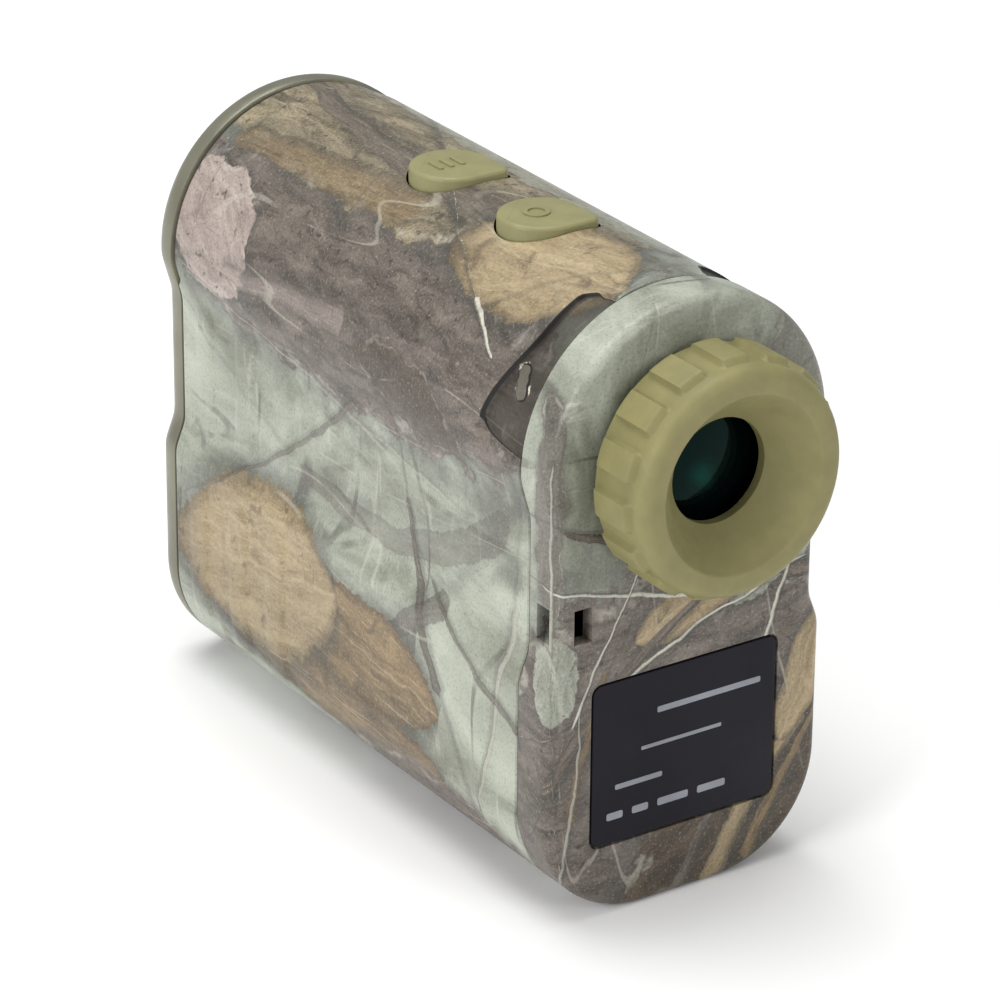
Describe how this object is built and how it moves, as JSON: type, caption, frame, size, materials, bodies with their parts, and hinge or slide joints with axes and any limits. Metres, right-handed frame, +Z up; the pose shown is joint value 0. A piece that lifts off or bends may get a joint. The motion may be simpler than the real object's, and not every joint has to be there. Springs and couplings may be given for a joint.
{
  "type": "laser rangefinder",
  "caption": "Handheld laser rangefinder with a monocular sight, twist-focus eyecup, press buttons on top, lanyard bar and a hinged battery door in its base.",
  "frame": {"origin": "under the middle of the object's box, on the surface it stands on", "axes": "+Y is the aiming direction, out of the objective; +X is the user's right; +Z is up"},
  "size_m": [0.041, 0.1034, 0.0806],
  "materials": {
    "camo_film": "printed leaf-and-bark film, semi-gloss",
    "pearl_plastic": "olive-grey, satin with a slight pearl",
    "label_black": null,
    "olive_rubber": "matte olive rubber",
    "olive_button": "satin olive rubber",
    "seal_rubber": "black rubber",
    "coated_glass": "green anti-reflection coating",
    "clear_glass": "clear",
    "anodised_aluminium": "black anodised",
    "steel": "plated steel",
    "contact_brass": "plated brass",
    "board_laminate": "green solder mask",
    "cell_can": "printed sleeve on a metal can",
    "black_plastic": "matte black"
  },
  "bodies": {
    "root": {"main_shell": "camo_film", "front_cover": "pearl_plastic", "rear_cover": "camo_film", "label_plate": "label_black", "front_seal": "seal_rubber", "rear_seal": "seal_rubber", "front_screw_1": "steel", "front_screw_2": "steel", "front_screw_3": "steel", "front_screw_4": "steel", "rear_screw_1": "steel", "rear_screw_2": "steel", "objective_ring": "anodised_aluminium", "objective_lens": "coated_glass", "objective_cell": "black_plastic", "emitter_ring": "anodised_aluminium", "emitter_lens": "coated_glass", "emitter_tube": "black_plastic", "laser_diode": "contact_brass", "diode_board": "board_laminate", "prism_housing": "black_plastic", "roof_prism": "clear_glass", "half_prism": "clear_glass", "receiver_sensor": "steel", "receiver_board": "board_laminate", "display_frame": "black_plastic", "display_panel": "clear_glass", "eyepiece_tube": "black_plastic", "eyepiece_seal": "seal_rubber", "guide_pin": "steel", "mode_switch": "black_plastic", "power_switch": "black_plastic", "button_board": "board_laminate", "main_board": "board_laminate", "battery_tray": "black_plastic", "battery_cell_1": "cell_can", "battery_cell_2": "cell_can", "battery_spring_1": "steel", "battery_spring_2": "steel", "spring_plate_1": "contact_brass", "spring_plate_2": "contact_brass", "contact_plate_1": "contact_brass", "contact_plate_2": "contact_brass", "hinge_pin": "steel"},
    "eye_carrier": {"eye_cell": "black_plastic", "eye_lens": "coated_glass", "lens_spacer": "black_plastic", "field_lens": "clear_glass", "eye_retainer": "anodised_aluminium"},
    "eyecup": {"eyecup": "olive_rubber"},
    "mode_button": {"mode_button": "olive_button"},
    "power_button": {"power_button": "olive_button"},
    "battery_door": {"battery_door": "camo_film", "door_seal": "seal_rubber"}
  },
  "joints": [
    {"name": "eyepiece_travel", "type": "slide", "parent": "root", "child": "eye_carrier", "axis": [0, -1, 0], "range_m": [0, 0.00251]},
    {"name": "dioptre_turn", "type": "hinge", "parent": "eye_carrier", "child": "eyecup", "pos_m": [0, -0.0465, 0.0592], "axis": [0, -1, 0], "range_deg": [0, 300]},
    {"name": "mode_press", "type": "slide", "parent": "root", "child": "mode_button", "axis": [0, 0, -1], "range_m": [0, 0.0008], "stiffness_N_per_m": 2500},
    {"name": "power_press", "type": "slide", "parent": "root", "child": "power_button", "axis": [0, 0, -1], "range_m": [0, 0.0008], "stiffness_N_per_m": 2500},
    {"name": "battery_door_swing", "type": "hinge", "parent": "root", "child": "battery_door", "pos_m": [0, 0.0275, 0.0022], "axis": [1, 0, 0], "range_deg": [0, 90]}
  ],
  "couplings": [
    {"joint": "eyepiece_travel", "follows": "dioptre_turn", "m_per_rad": 0.00047746}
  ]
}
